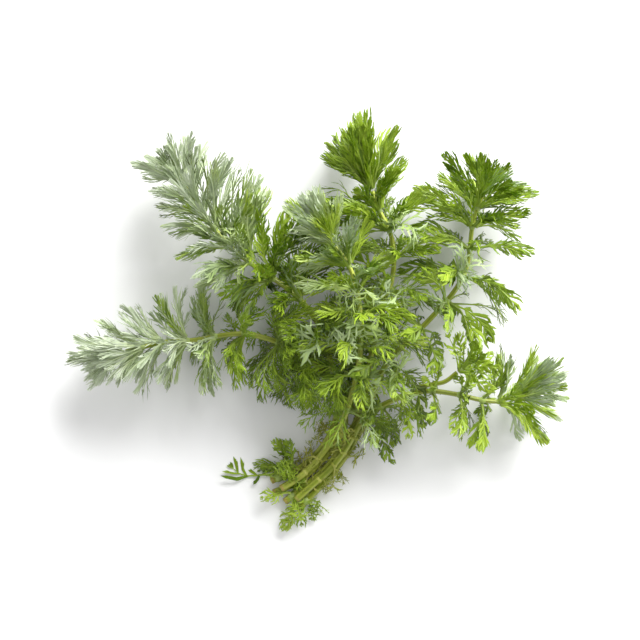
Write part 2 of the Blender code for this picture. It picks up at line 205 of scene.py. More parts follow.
# How many fine leaves stand for one solid leaf, by the share of the way down the shoot, and
# for the leaves near the cut ends where that is more than one
CROWDING = {
    "top": ((0.0, 3), (0.4, 2), (0.6, 1)),
    "middle": ((0.0, 3), (0.4, 2), (0.55, 1)),
    "upper_left": ((0.0, 3), (0.5, 4)),
    "lower_left": ((0.0, 3), (0.5, 4)),
    "upper_right": ((0.0, 3), (0.3, 1)),
    "lower_right": ((0.0, 3), (0.1, 2)),
    "side": ((0.0, 1),),
}
BASE_CROWDING = {"curled_base_leaves": 4, "pale_base_frond": 2, "small_base_leaves": 2}

# The leaves near the cut ends lean as those at this share of the way down the side shoot
BASE_SHARE = 0.5

# The curled cluster near a cut end: how many extra curled leaves it has, and their turn from
# straight up, height and reach
CLUSTER = {"curled_base_leaves": (9, 110, (3, 7), (3, 6))}

# Pale leaves of a shoot tip: their design and special shade, and how much lighter that
# shade makes them
CLEAR_LEAVES = {("tip_upper_right", 11): ("fan", 0.9), ("tip_upper_right", 13): ("fan", 0.9)}
CLEAR_LIFT = 0.4

# Pale young leaves: the shoots that have them, where they start down a shoot, how high a
# leaf points that may be one, as a share of its length, how many of those are, and their
# special shade
TUFT_SHOOTS = ("top", "middle", "upper_left", "upper_right")
TUFT_START = 0.3
TUFT_RISE = 0.3
TUFT_SHARE = 0.12
TUFT_MINT = 0.7

# Curled pale tufts on a node of these shoots: the most of them, their height, the least of
# it where the leaves are low, and their reach in millimetres, their turn from straight up in
# degrees, how much lighter than leaves and how silvery they are, and the shares of height
# and reach at their stations
MOST_TUFTS = 2
TUFT_HEIGHT = (8, 14)
LEAST_HEIGHT = 2.0
TUFT_REACH = (6, 10)
TUFT_TURN = 45
TUFT_LIFT = 0.2
TUFT_SILVER = 0.3
TUFT_STATIONS = ((0.0, 0.0), (0.6, 0.0), (1.0, 0.4), (0.7, 1.0))

# How much a fine leaf sways from its solid's midrib, as a share of its length, and rolls,
# in degrees
SWAY = 0.025
ROLL = 22

# The fine leaves beside the first one: their turn round the stem, how much they lean along
# it at the tip and at the lowest whorl, in degrees, and their size
SECOND_TURN = (9, 15)
SECOND_TILT = (3, 20)
SECOND_SIZE = (0.75, 1.0)

# How much single leaves differ in silver where a shoot turns from silver to green, and
# between which shares of silver it does
SILVER_SPREAD = 0.5
SILVER_MIX = (0.05, 0.95)

# Dark wiry leaves between the others: how many a whorl has, their tone, their share of the
# silver, their turn round the stem and their lean along it in degrees, and their size
WIRES = 3
WIRE_TONE = -0.05
WIRE_SILVER = 0.3
WIRE_TURN = 25
WIRE_LEAN = 12.5
WIRE_SIZE = (0.8, 1)

# A ring of a stem's solid has this many corners
STEM_CORNERS = 6

# Stem mesh: the distance between its stations, its sides, its main and fine ridges with
# their height as a share of the radius, and the turn of the fine ones
STEM_STEP = 1.2
STEM_SIDES = 16
MAIN_RIDGES = 4
MAIN_HEIGHT = 0.05
FINE_RIDGES = 7
FINE_HEIGHT = 0.025
FINE_TURN = 1

# A stem's tone, silver and special shade, and the place along a leaf that its skin has in
# the material, at the cut end and how much further on at the tip; this gives it the painted
# shade of the leaf bases, darker towards the cut end
STEM_TINT = (0.46, 0.0, 0.0)
STEM_LEAF_PLACES = (0.7, 0.3)

# The browned rim and the pale core of a cut end: how far each stands out, its size as a
# share of the stem, its tone, silver and special shade, and how deep they reach
CUT_RINGS = ((0.05, 1.03, (0.3, 0.0, 0.75)), (0.25, 0.72, (1.1, 0.0, 0.0)))
CUT_DEPTH = 0.9

# Old nodes on the bare lower stems: their first and last place and their spacing, their
# tone, silver and special shade, and their size beside a leafy node
SCRAP_PLACES = (9, 42, 8)
SCAR_TINT = (0.75, 0.0, 0.1)
SCAR_SWELL = 0.45

# Scraps of leaves on an old node: the most of them, their height and reach, their turn,
# their designs, their tone and the most of the special shade
MOST_SCRAPS = 5
SCRAP_HEIGHT = (0.5, 2.5)
SCRAP_REACH = (5, 11)
SCRAP_TURN = 180
SCRAPS = ("curled", "feather", "strand")
SCRAP_TONE = 0.45
SCRAP_SHADE = 0.4

# The tone, silver and special shade of a node ring
NODE_TINT = (0.95, 0.35, 0.3)

# The collar round a stem node: distances along the stem and heights over its surface, its
# sides, how uneven it is, and its place along a leaf and across it in the material, at the
# leaf base, where the painted shade is darkest
COLLAR = (
    (-1.5, -0.1), (-1.1, 0.12), (-0.5, 0.38), (0.1, 0.5), (0.7, 0.36), (1.2, 0.1), (1.6, -0.1),
)
COLLAR_SIDES = 14
COLLAR_BUMPS = (0.8, 1.2)
COLLAR_PLACE = (0.02, 0.3)

# Noise in the materials, in waves a metre: patches of tone, blots of silver, fine grain
PATCHES = 140
BLOTS = 70
GRAIN = 1500

# The table's half width in metres, its shade and roughness, the light of the room, and the
# lamp's place, size and power
TABLE_REACH = 3.0
TABLE_SHADE = 0.9
TABLE_ROUGHNESS = 0.8
ROOM_LIGHT = 0.72
LAMP_PLACE = (1.3, 2.2, 1.4)
LAMP_SIZE = 2.4
LAMP_POWER = 225

# Edges that bend more than this stay edges in smooth light, in degrees
SHARP_EDGE = 40

# The camera looks straight down from this height, and the photograph is this wide, in metres
CAMERA_HEIGHT = 1.5
FIELD = 0.256
SENSOR = 36.0


def unit(vectors):
    """Vectors made one long."""
    return vectors / np.linalg.norm(vectors, axis=-1, keepdims=True)


def spin(rows, axis, degrees):
    """Vectors turned round an axis."""
    angle = math.radians(degrees)
    swept = rows * math.cos(angle) + np.cross(axis, rows) * math.sin(angle)
    return swept + axis * ((rows @ axis) * (1 - math.cos(angle)))[:, None]


def chance_for(*words):
    """A random source of its own for each name, the same in every run."""
    return np.random.default_rng([zlib.crc32(str(word).encode()) for word in words])


def welded(node):
    """A solid's corners in millimetres, each once, and the neighbours of each."""
    bm = bmesh.new()
    bm.from_mesh(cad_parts[node].data)
    bmesh.ops.remove_doubles(bm, verts=bm.verts, dist=WELD)
    bm.verts.index_update()
    points = np.array([vert.co for vert in bm.verts]) / MM
    near = [{edge.other_vert(vert).index for edge in vert.link_edges} for vert in bm.verts]
    bm.free()
    return points, near


def next_layer(near, layer, seen):
    """The unseen neighbours of a layer of corners."""
    return set().union(*(near[i] for i in layer)) - seen


class Curve:
    """A smooth curve through points, with its length measured along it."""

    def __init__(self, stations):
        ends = [2 * stations[0] - stations[1], *stations, 2 * stations[-1] - stations[-2]]
        points = []
        for a, b, c, d in zip(ends, ends[1:], ends[2:], ends[3:]):
            for t in np.arange(SPINE_STEPS) / SPINE_STEPS:
                bend = (2 * a - 5 * b + 4 * c - d) * t * t + (3 * b - a - 3 * c + d) * t**3
                points.append(0.5 * (2 * b + (c - a) * t + bend))
        self.points = np.array(points + [stations[-1]])
        steps = np.linalg.norm(np.diff(self.points, axis=0), axis=1)
        self.places = np.concatenate([[0.0], np.cumsum(steps)])
        self.length = self.places[-1]
        self.headings = unit(np.gradient(self.points, axis=0))

    def read(self, rows, places):
        """Rows that belong to the curve's points, read at places along it."""
        return np.stack([np.interp(places, self.places, rows[:, k]) for k in range(3)], axis=-1)


class Leaf:
    """A leaf's midrib and the directions of its side and face along it."""

    def __init__(self, line, faces):
        self.line = np.array(line)
        self.faces = np.array(faces)
        self.curve = Curve(list(self.line))
        joints = self.curve.places[[SPINE_STEPS, 2 * SPINE_STEPS]]
        shares = np.interp(self.curve.places, joints, (0, 1))[:, None]
        face = self.faces[0] * (1 - shares) + self.faces[1] * shares
        self.side = unit(np.cross(face, self.curve.headings))
        self.face = np.cross(self.curve.headings, self.side)
        self.length = self.curve.length

    def place(self, points):
        """Points of leaf space put on the leaf."""
        along = np.clip(points[:, 0], 0, self.length)
        spot = self.curve.read(self.curve.points, along)
        spot += self.curve.read(self.curve.headings, along) * (points[:, 0] - along)[:, None]
        spot += self.curve.read(self.side, along) * points[:, 1:2]
        return spot + self.curve.read(self.face, along) * points[:, 2:3]

    def varied(self, rng):
        """The same leaf a little bent and rolled, with its tip almost where it was."""
        line = self.line.copy()
        sway = rng.normal(0, SWAY, (2, 2)) * self.length
        for k in (1, 2):
            at = self.curve.places.searchsorted(self.curve.places[k * SPINE_STEPS])
            line[k] += self.side[at] * sway[k - 1, 0] + self.face[at] * sway[k - 1, 1]
        roll = np.radians(rng.normal(0, ROLL, 2))[:, None]
        sides = self.side[[SPINE_STEPS, 2 * SPINE_STEPS]]
        return Leaf(line, self.faces * np.cos(roll) + sides * np.sin(roll))

    def turned(self, centre, axis, degrees, size):
        """The same leaf turned round an axis through a point, and another size."""
        line = spin(self.line - centre, axis, degrees) + centre
        line = line[0] + (line - line[0]) * size
        return Leaf(line, spin(self.faces, axis, degrees))

    def tilted(self, axis, degrees):
        """The same leaf leaning from its slot towards an axis or away from it."""
        across = unit(np.cross(axis, self.line[3] - self.line[0]))
        return self.turned(self.line[0], across, degrees, 1.0)


def blade_section(corners):
    """The middle of a blade's flat face and the way it looks: away from its keel."""
    spans = np.linalg.norm(corners[:, None] - corners, axis=2).sum(axis=1)
    keel = spans.argmin()
    middle = np.delete(corners, keel, axis=0).mean(axis=0)
    return middle, unit(middle - corners[keel])


def read_leaves(points, near):
    """The leaves of a whorl, and the corners of its ring that belong to none."""
    leaves = []
    used = set()
    for tip in range(len(points)):
        if len(near[tip]) != 3:
            continue
        outer = set(near[tip])
        inner = next_layer(near, outer, outer | {tip})
        slot = next_layer(near, inner, inner | outer)
        used |= {tip} | outer | inner
        middle, low_face = blade_section(points[sorted(inner)])
        wide, high_face = blade_section(points[sorted(outer)])
        start = points[sorted(slot)].mean(axis=0)
        leaves.append(Leaf([start, middle, wide, points[tip]], [low_face, high_face]))
    leaves.sort(key=lambda leaf: tuple(leaf.line[3].round(1)))
    return leaves, points[sorted(set(range(len(points))) - used)]


class Stem:
    """A stem's smooth line and radius, read from its solid and given from the cut end on."""

    def __init__(self, node, tip_node):
        points, near = welded(node)
        tip = welded(tip_node)[0]
        reach = np.linalg.norm(points[:, None] - tip, axis=2).min(axis=1)
        ring = set(reach.argsort()[:STEM_CORNERS].tolist())
        seen = set(ring)
        centres, radii = [], []
        while ring:
            corners = points[sorted(ring)]
            centres.insert(0, corners.mean(axis=0))
            radii.insert(0, np.linalg.norm(corners - centres[0], axis=1).mean())
            ring = next_layer(near, ring, seen)
            seen |= ring
        self.curve = Curve(centres)
        self.radii = (radii[0], radii[-1])

    def radius(self, places):
        """The radius at places along the line."""
        return np.interp(places, [0, self.curve.length], self.radii)

    def nearest(self, point):
        """The distance to a point, and the place and heading there."""
        spans = np.linalg.norm(self.curve.points - point, axis=1)
        k = spans.argmin()
        return spans[k], self.curve.places[k], self.curve.headings[k]


class Parts:
    """Points, faces and surface values that are gathered for one mesh."""

    def __init__(self, tint):
        self.points, self.faces, self.fine, self.tints = [], [], [], []
        self.count = 0
        self.tint = tint

    def add(self, points, faces, fine):
        """More points and faces, in the present tint."""
        self.points.append(points)
        self.fine.append(fine)
        self.tints.append(np.tile(self.tint, (len(points), 1)))
        self.faces += [[corner + self.count for corner in face] for face in faces]
        self.count += len(points)

    def mesh(self, name):
        """One mesh of it all, softly kept off the table and under the top."""
        points = np.concatenate(self.points)
        sunk = points[:, 2] < LIE_DOWN
        points[sunk, 2] = LIE_DOWN * np.exp((points[sunk, 2] - LIE_DOWN) / LIE_SOFTNESS)
        over = np.maximum(points[:, 2] - HIGHEST, 0)
        points[:, 2] -= over - OVER_TOP * (1 - np.exp(-over / OVER_TOP))
        mesh = bpy.data.meshes.new(name)
        mesh.from_pydata((points * MM).tolist(), [], self.faces)
        for key, rows in (("fine", self.fine), ("tint", self.tints)):
            values = mesh.attributes.new(key, "FLOAT_VECTOR", "POINT")
            values.data.foreach_set("vector", np.concatenate(rows).ravel())
        mesh.shade_smooth()
        mesh.set_sharp_from_angle(angle=math.radians(SHARP_EDGE))
        return mesh


# Strips that grow side by side: where each starts on the leaf and over it, its angle, bend,
# length, half width, rise and roll, and its random shade
Strips = namedtuple("Strips", "start height angle bend length half tilt roll chance")


def draw_strips(strips, stations, widths, leaf_length):
    """Pointed strips as closed shells in leaf space: points, faces and surface values."""
    t = np.append(stations, 1.0)
    lean = strips.angle[:, None] + strips.bend[:, None] * t / 2
    heading = strips.angle[:, None] + strips.bend[:, None] * t
    run = strips.length[:, None] * t
    u = strips.start[:, :1] + run * np.cos(lean)
    v = strips.start[:, 1:] + run * np.sin(lean)
    w = strips.height[:, None] + run * strips.tilt[:, None]
    half = strips.half[:, None] * np.append(widths, 0.0)
    roll = half * strips.roll[:, None]
    left = np.stack([u - np.sin(heading) * half, v + np.cos(heading) * half, w + roll], axis=-1)
    right = np.stack([u + np.sin(heading) * half, v - np.cos(heading) * half, w - roll], axis=-1)
    ridge = np.stack([u, v, w + RIDGE * np.append(np.ones(len(widths)), 0)], axis=-1)
    rows = np.stack([left, ridge, right], axis=2)
    count, rings = len(strips.length), len(stations)
    points = rows[:, :rings].reshape(count, -1, 3)
    points = np.concatenate([points, rows[:, rings, 1:2]], axis=1)
    # Across a strip: 1 at its edges, 0 on its ridge
    across = np.append(np.tile([1.0, 0.0, 1.0], rings), 0.6)
    fine = np.empty_like(points)
    fine[..., 0] = points[..., 0] / leaf_length
    fine[..., 1] = across
    fine[..., 2] = strips.chance[:, None]
    shape = [(0, 2, 1)]
    for k in range(rings - 1):
        a, b = 3 * k, 3 * k + 3
        shape += [(a, a + 1, b + 1, b), (a + 1, a + 2, b + 2, b + 1), (a + 2, a, b, b + 2)]
    last, tip = 3 * (rings - 1), 3 * rings
    shape += [(last, last + 1, tip), (last + 1, last + 2, tip), (last + 2, last, tip)]
    size = points.shape[1]
    faces = [[corner + k * size for corner in face] for k in range(count) for face in shape]
    return points.reshape(-1, 3), faces, fine.reshape(-1, 3)


def midrib(length, chance):
    """The midrib from the slot to near the tip, four-sided, ending in a point."""
    scale = length / MODEL_LEAF
    rings = len(RIB_SHARES)
    u = np.array(RIB_SHARES) * length
    half = np.array(RIB_WIDTHS) * (RIB_LEAST + (1 - RIB_LEAST) * scale)
    points = np.zeros((rings, 4, 3))
    points[..., 0] = u[:, None]
    points[:, 0, 1] = half
    points[:, 1, 2] = half * RIB_HEIGHT + RIDGE
    points[:, 2, 1] = -half
    points[:, 3, 2] = -half * RIB_HEIGHT
    points = np.concatenate([points.reshape(-1, 3), [[length * LEAF_END, 0, 0]]])
    fine = np.zeros_like(points)
    fine[:, 0] = points[:, 0] / length
    fine[:, 2] = chance
    faces = [(3, 2, 1, 0)]
    for k in range(rings - 1):
        for i in range(4):
            a, b = 4 * k + i, 4 * k + (i + 1) % 4
            faces.append((a, b, b + 4, a + 4))
    for i in range(4):
        faces.append((4 * (rings - 1) + i, 4 * (rings - 1) + (i + 1) % 4, 4 * rings))
    return points, faces, fine


def side_segments(design, length, rng):
    """The segments on both sides of a leaf's midrib, their sides and bends."""
    pairs = max(design.pairs + rng.integers(-1, 2), 3)
    side = np.append(np.tile([1.0, -1.0], pairs), rng.choice([-1.0, 1.0]))
    step = np.repeat(np.arange(pairs), 2) / (pairs - 1)
    step = np.clip(step + rng.uniform(-PLACE_SPREAD, PLACE_SPREAD, 2 * pairs) / pairs, 0, 1)
    angle = design.first + (design.last - design.first) * step
    angle = angle + rng.normal(0, ANGLE_SPREAD, 2 * pairs)
    angle = np.radians(np.append(np.maximum(angle, LEAST_ANGLE), LEAST_ANGLE))
    step = np.append(step, 1)
    count = len(step)
    place = design.bare + (LAST_PAIR - design.bare) * step
    profile = np.interp(step, REACH_PLACES, REACH_SHARES)
    reach = design.reach * length * profile * rng.uniform(*REACH_SPREAD, count)
    room = (1.0 - place) * length * LEAF_END / np.cos(angle)
    run = np.minimum(reach / np.sin(angle), room)
    half = design.half * length * np.interp(step, WIDTH_PLACES, WIDTH_SHARES)
    tilt = rng.normal(SEGMENT_RISE, design.droop, count)
    roll = rng.normal(0, ROLL_SPREAD, count)
    unlike = BEND_SPREAD + BEND_SHARE * abs(design.bend)
    bend = np.radians(rng.normal(design.bend, unlike, count))
    chance = rng.uniform(0, 1, count)
    start = np.stack([place * length, np.zeros(count)], axis=-1)
    angle, bend = angle * side, bend * side
    return Strips(start, np.zeros(count), angle, bend, run, half, tilt, roll, chance), side


def side_lobes(design, segments, side, rng):
    """The lobes that fork off segments."""
    count, lobes = len(side), design.lobes
    owner = np.repeat(np.arange(count), lobes)
    spot = np.tile(np.linspace(*LOBE_PLACES, lobes), count)
    spot = spot + rng.uniform(-LOBE_SPREAD, LOBE_SPREAD, len(owner))
    bend = segments.bend[owner]
    lean = segments.angle[owner] + bend * spot / 2
    run = segments.length[owner] * spot
    start = np.stack([segments.start[owner, 0] + run * np.cos(lean), run * np.sin(lean)], axis=-1)
    turn = np.tile([1.0, -1.0] * lobes, count)[:len(owner)] * side[owner]
    fork = np.radians(design.fork + rng.normal(0, FORK_SPREAD, len(owner))) * turn
    size = rng.uniform(*LOBE_SIZE, len(owner))
    length = design.lobe * segments.length[owner] * size + segments.half[owner]
    tilt = segments.tilt[owner]
    return Strips(
        start, run * tilt, lean + bend * spot / 2 + fork, fork * LOBE_BEND, length,
        segments.half[owner] * LOBE_HALF, tilt + rng.normal(0, LOBE_RISE_SPREAD, len(owner)),
        segments.roll[owner], segments.chance[owner],
    )


def draw_leaf(parts, leaf, design, rng, tone, silver, mint=0.0):
    """One fine leaf: midrib, side segments and their lobes, bent on to the leaf's midrib."""
    if SILVER_MIX[0] < silver < SILVER_MIX[1]:
        silver = np.clip(silver + rng.normal(0, SILVER_SPREAD), 0, 1)
    parts.tint = (tone + rng.normal(0, TONE_SPREAD), silver, mint)
    segments, side = side_segments(design, leaf.length, rng)
    lobes = side_lobes(design, segments, side, rng)
    for strips, stations, widths in (
        (segments, SEGMENT_STATIONS, SEGMENT_WIDTHS), (lobes, LOBE_STATIONS, LOBE_WIDTHS),
    ):
        points, faces, fine = draw_strips(strips, stations, widths, leaf.length)
        parts.add(leaf.place(points), faces, fine)
    points, faces, fine = midrib(leaf.length, rng.uniform(0, 1))
    parts.add(leaf.place(points), faces, fine)


def draw_tuft(parts, spot, turn, rise, reach, rng, design, *tint):
    """A short curled leaf that stands on a stem and bends over."""
    centre, heading, radius = spot
    up = unit(np.array([0, 0, 1.0]) - heading * heading[2])
    out = spin(up[None], heading, rng.uniform(-turn, turn))[0]
    over = spin(heading[None], out, rng.uniform(-180, 180))[0]
    start = centre + out * radius
    line = [start + out * rise * high + over * reach * far for high, far in TUFT_STATIONS]
    draw_leaf(parts, Leaf(line, [-over, out]), DESIGNS[design], rng, *tint)


def lathe(parts, centres, rights, ups, radii, fine):
    """A closed tube of circles, whose ends are closed with flat faces."""
    rings, sides = radii.shape
    angles = 2 * math.pi * np.arange(sides) / sides
    spokes = rights[:, None] * np.cos(angles)[None, :, None]
    spokes = spokes + ups[:, None] * np.sin(angles)[None, :, None]
    points = (centres[:, None] + spokes * radii[..., None]).reshape(-1, 3)
    faces = [tuple(range(sides))[::-1], tuple(range((rings - 1) * sides, rings * sides))]
    for k in range(rings - 1):
        for i in range(sides):
            a, b = k * sides + i, k * sides + (i + 1) % sides
            faces.append((a, b, b + sides, a + sides))
    parts.add(points, faces, fine.reshape(-1, 3))


def side_frames(headings):
    """The directions to the right of headings and up from them."""
    rights = unit(np.cross(headings, (0, 0, 1)))
    return rights, np.cross(rights, headings)


def draw_collar(parts, centre, heading, radius, rng, swell=1.0):
    """The soft ring round a stem node."""
    along, over = (np.array(COLLAR) * swell).T
    centres = centre + heading * along[:, None]
    headings = np.repeat(heading[None], len(COLLAR), axis=0)
    rights, ups = side_frames(headings)
    bumps = rng.uniform(*COLLAR_BUMPS, COLLAR_SIDES)
    radii = radius + over[:, None] * np.where(over[:, None] > 0, bumps, 1)
    fine = np.zeros((*radii.shape, 3))
    fine[..., 0], fine[..., 1] = COLLAR_PLACE
    fine[..., 2] = rng.uniform(0, 1)
    lathe(parts, centres, rights, ups, radii, fine)


def design_for(shoot, share):
    """A shoot's leaf design at a share of the way down from its tip."""
    names = SHOOT_DESIGNS[shoot]
    spot = share * (len(names) - 1)
    k = min(int(spot), len(names) - 2)
    low, high = np.array(DESIGNS[names[k]]), np.array(DESIGNS[names[k + 1]])
    mixed = Design(*(low + (high - low) * (spot - k)))
    return mixed._replace(pairs=round(mixed.pairs), lobes=round(mixed.lobes))


def tint_for(node, shoot, share, back):
    """How light and how silvery a whorl's leaves are, that far back from the stem's tip."""
    if node in BASE_TONES:
        return BASE_TONES[node], 0.0
    first, last = TONES[shoot]
    silver = np.interp(back, SILVER_REACH[shoot], (1, 0)) if shoot in SILVER_REACH else 0.0
    return first + (last - first) * share, silver


def finish(name, mesh, slot, *nodes):
    """A piece that stands for solids, with the material of its slot."""
    piece = bpy.data.objects.new(name, mesh)
    bpy.context.scene.collection.objects.link(piece)
    piece.data.materials.append(materials[slot])
    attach(piece, "root")
    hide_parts(*nodes)


def draw_wires(parts, node, leaves, spot, silver):
    """Dark wiry leaves between the leaves of a whorl."""
    rng = chance_for(node, "wires")
    centre, heading, _ = spot
    for k in rng.permutation(len(leaves))[:WIRES]:
        turn = rng.normal(0, WIRE_TURN)
        wire = leaves[k].turned(centre, heading, turn, rng.uniform(*WIRE_SIZE))
        wire = wire.tilted(heading, rng.normal(0, WIRE_LEAN)).varied(rng)
        draw_leaf(parts, wire, DESIGNS["wire"], rng, WIRE_TONE, silver * WIRE_SILVER)


def draw_tufts(parts, node, spot, room, tone):
    """Curled pale tufts on a node, no higher than its leaves."""
    rng = chance_for(node, "tufts")
    for _ in range(rng.integers(0, MOST_TUFTS + 1)):
        rise = min(rng.uniform(*TUFT_HEIGHT), max(room, LEAST_HEIGHT))
        reach = rng.uniform(*TUFT_REACH)
        tint = (tone + TUFT_LIFT, TUFT_SILVER, TUFT_MINT)
        draw_tuft(parts, spot, TUFT_TURN, rise, reach, rng, "tuft", *tint)


def draw_cluster(parts, node, spot, tone):
    """Extra curled leaves crowded round a node."""
    count, turn, rises, reaches = CLUSTER[node]
    rng = chance_for(node, "cluster")
    for _ in range(count):
        sizes = rng.uniform(*rises), rng.uniform(*reaches)
        draw_tuft(parts, spot, turn, *sizes, rng, "curled", tone, 0.0, 0.0)


def dress_whorl(node, shoot, share, slot):
    """The fine leaves and collar of one whorl or shoot tip."""
    points, near = welded(node)
    leaves, ring = read_leaves(points, near)
    centre = ring.mean(axis=0)
    stem = min(stems.values(), key=lambda stem: stem.nearest(centre)[0])
    _, place, heading = stem.nearest(centre)
    spot = (centre, heading, stem.radius(place))
    parts = Parts(NODE_TINT)
    draw_collar(parts, *spot, chance_for(node))
    at_base = node in BASE_DESIGNS
    if at_base:
        designs = [DESIGNS[name] for name in BASE_DESIGNS[node]]
        crowding = BASE_CROWDING.get(node, 1)
    else:
        designs = [design_for(shoot, share)] * len(leaves)
        crowding = [count for start, count in CROWDING[shoot] if share >= start][-1]
    tone, silver = tint_for(node, shoot, share, stem.curve.length - place)
    tufted = shoot in TUFT_SHOOTS and share > TUFT_START
    lean = np.interp(share, (0, 1), SECOND_TILT)
    for k, (leaf, design) in enumerate(zip(leaves, designs)):
        rng = chance_for(node, k)
        rise = (leaf.line[3] - leaf.line[0])[2] / leaf.length
        mint, young = 0.0, 0.0
        if tufted and rise > TUFT_RISE and rng.random() < TUFT_SHARE:
            young = TUFT_MINT
        if (node, k) in CLEAR_LEAVES:
            name, mint = CLEAR_LEAVES[node, k]
            design = DESIGNS[name]
        light = tone + CLEAR_LIFT * mint
        draw_leaf(parts, leaf.varied(rng), design, rng, light, silver, max(mint, young))
        side = rng.choice([-1, 1])
        for extra in range(1, crowding):
            turn = rng.uniform(*SECOND_TURN) * side * (-1) ** extra
            second = leaf.turned(centre, heading, turn, rng.uniform(*SECOND_SIZE))
            second = second.tilted(heading, rng.normal(0, lean))
            draw_leaf(parts, second.varied(rng), design, rng, light, silver, mint)
    if not at_base:
        draw_wires(parts, node, leaves, spot, silver)
    if tufted:
        draw_tufts(parts, node, spot, points[:, 2].max() - centre[2], tone)
    if node in CLUSTER:
        draw_cluster(parts, node, spot, tone)
    finish(f"leaves_{node}", parts.mesh(node), slot, node)


def draw_scraps(parts, shoot):
    """Old nodes on the bare lower part of a stem, with scraps of leaves."""
    stem = stems[shoot]
    curve = stem.curve
    first, last, spacing = SCRAP_PLACES
    for place in np.arange(first, min(last, curve.length / 3), spacing):
        rng = chance_for(shoot, "scraps", place)
        place += rng.uniform(0, spacing / 2)
        k = curve.places.searchsorted(place)
        spot = (curve.points[k], curve.headings[k], stem.radius(place))
        parts.tint = SCAR_TINT
        draw_collar(parts, *spot, rng, SCAR_SWELL)
        for _ in range(rng.integers(1, MOST_SCRAPS + 1)):
            sizes = rng.uniform(*SCRAP_HEIGHT), rng.uniform(*SCRAP_REACH)
            design = rng.choice(SCRAPS)
            tint = (SCRAP_TONE, 0.0, rng.uniform(0, SCRAP_SHADE))
            draw_tuft(parts, spot, SCRAP_TURN, *sizes, rng, design, *tint)


def dress_stem(shoot):
    """A stem's smooth ridged skin, its old nodes and its cut end."""
    stem = stems[shoot]
    curve = stem.curve
    count = math.ceil(curve.length / STEM_STEP)
    places = np.linspace(0, curve.length, count + 1)
    centres = curve.read(curve.points, places)
    headings = unit(curve.read(curve.headings, places))
    rights, ups = side_frames(headings)
    angles = 2 * math.pi * np.arange(STEM_SIDES) / STEM_SIDES
    main = np.cos(MAIN_RIDGES * angles)
    ridges = 1 + MAIN_HEIGHT * main + FINE_HEIGHT * np.cos(FINE_RIDGES * angles + FINE_TURN)
    radii = stem.radius(places)[:, None] * ridges
    fine = np.zeros((*radii.shape, 3))
    # Painted shade: the stem is darker at its cut end and lighter towards its tip, as at a leaf
    # base
    fine[..., 0] = (STEM_LEAF_PLACES[0] + STEM_LEAF_PLACES[1] * places / curve.length)[:, None]
    fine[..., 1] = 0.5 + 0.5 * main
    fine[..., 2] = chance_for(shoot).uniform(0, 1)
    parts = Parts(STEM_TINT)
    lathe(parts, centres, rights, ups, radii, fine)
    draw_scraps(parts, shoot)
    for reach, size, tint in CUT_RINGS:
        parts.tint = tint
        ends = centres[0] + headings[0] * np.array([[-reach], [CUT_DEPTH]])
        wide = size * stem.radius(0) * np.tile(ridges, (2, 1))
        chance = chance_for(shoot, "cut").uniform(0, 1)
        shade = np.tile((0.5, 0.5, chance), (2, STEM_SIDES, 1))
        lathe(parts, ends, rights[:2], ups[:2], wide, shade)
    finish(f"skin_stem_{shoot}", parts.mesh(f"stem_{shoot}"), "stem", f"stem_{shoot}")


class Nodes:
    """Short ways to add and join the nodes of a material."""

    def __init__(self, name):
        self.material = bpy.data.materials.new(name)
        self.material.use_nodes = True
        self.tree = self.material.node_tree
        self.tree.nodes.clear()

    def add(self, kind, **settings):
        """A new node."""
        node = self.tree.nodes.new(f"ShaderNode{kind}")
        for key, value in settings.items():
            setattr(node, key, value)
        return node

    def join(self, source, socket):
        """A link from another node, or a value set on the socket itself."""
        if hasattr(source, "links"):
            self.tree.links.new(source, socket)
        else:
            socket.default_value = source

    def math(self, operation, *values):
        """A sum or another reckoning of values."""
        node = self.add("Math", operation=operation)
        for socket, value in zip(node.inputs, values):
            self.join(value, socket)
        return node.outputs[0]

    def mix(self, factor, a, b):
        """A colour between two others."""
        node = self.add("Mix", data_type="RGBA")
        self.join(factor, node.inputs["Factor"])
        self.join(a, node.inputs[6])
        self.join(b, node.inputs[7])
        return node.outputs[2]

    def spread(self, value, low, high):
        """A value stretched so that low gives 0 and high gives 1."""
        node = self.add("MapRange")
        self.join(value, node.inputs["Value"])
        node.inputs["From Min"].default_value = low
        node.inputs["From Max"].default_value = high
        return node.outputs["Result"]

    def values(self, name):
        """The three values of a surface attribute."""
        split = self.add("SeparateXYZ")
        self.join(self.add("Attribute", attribute_name=name).outputs["Vector"], split.inputs[0])
        return split.outputs

    def clamp(self, value):
        """A value kept from 0 to 1."""
        node = self.add("Clamp")
        self.join(value, node.inputs["Value"])
        return node.outputs[0]

    def ramp(self, value, colours):
        """Even steps from the first colour to the last."""
        node = self.add("ValToRGB")
        self.join(value, node.inputs["Fac"])
        elements = node.color_ramp.elements
        for _ in colours[2:]:
            elements.new(0.5)
        for k, element in enumerate(elements):
            element.position = k / (len(colours) - 1)
        for element, shade in zip(elements, colours):
            element.color = shade
        return node.outputs["Color"]

    def noise(self, scale, detail=3.0):
        """Soft random patches all through the piece."""
        node = self.add("TexNoise")
        self.join(self.add("TexCoord").outputs["Object"], node.inputs["Vector"])
        node.inputs["Scale"].default_value = scale
        node.inputs["Detail"].default_value = detail
        return node.outputs["Fac"]


def colour(red, green, blue):
    """A colour from its screen values, 0 to 255, as linear light."""
    shares = [value / 255 for value in (red, green, blue)]
    linear = [s / 12.92 if s < 0.04045 else ((s + 0.055) / 1.055) ** 2.4 for s in shares]
    return (*linear, 1)


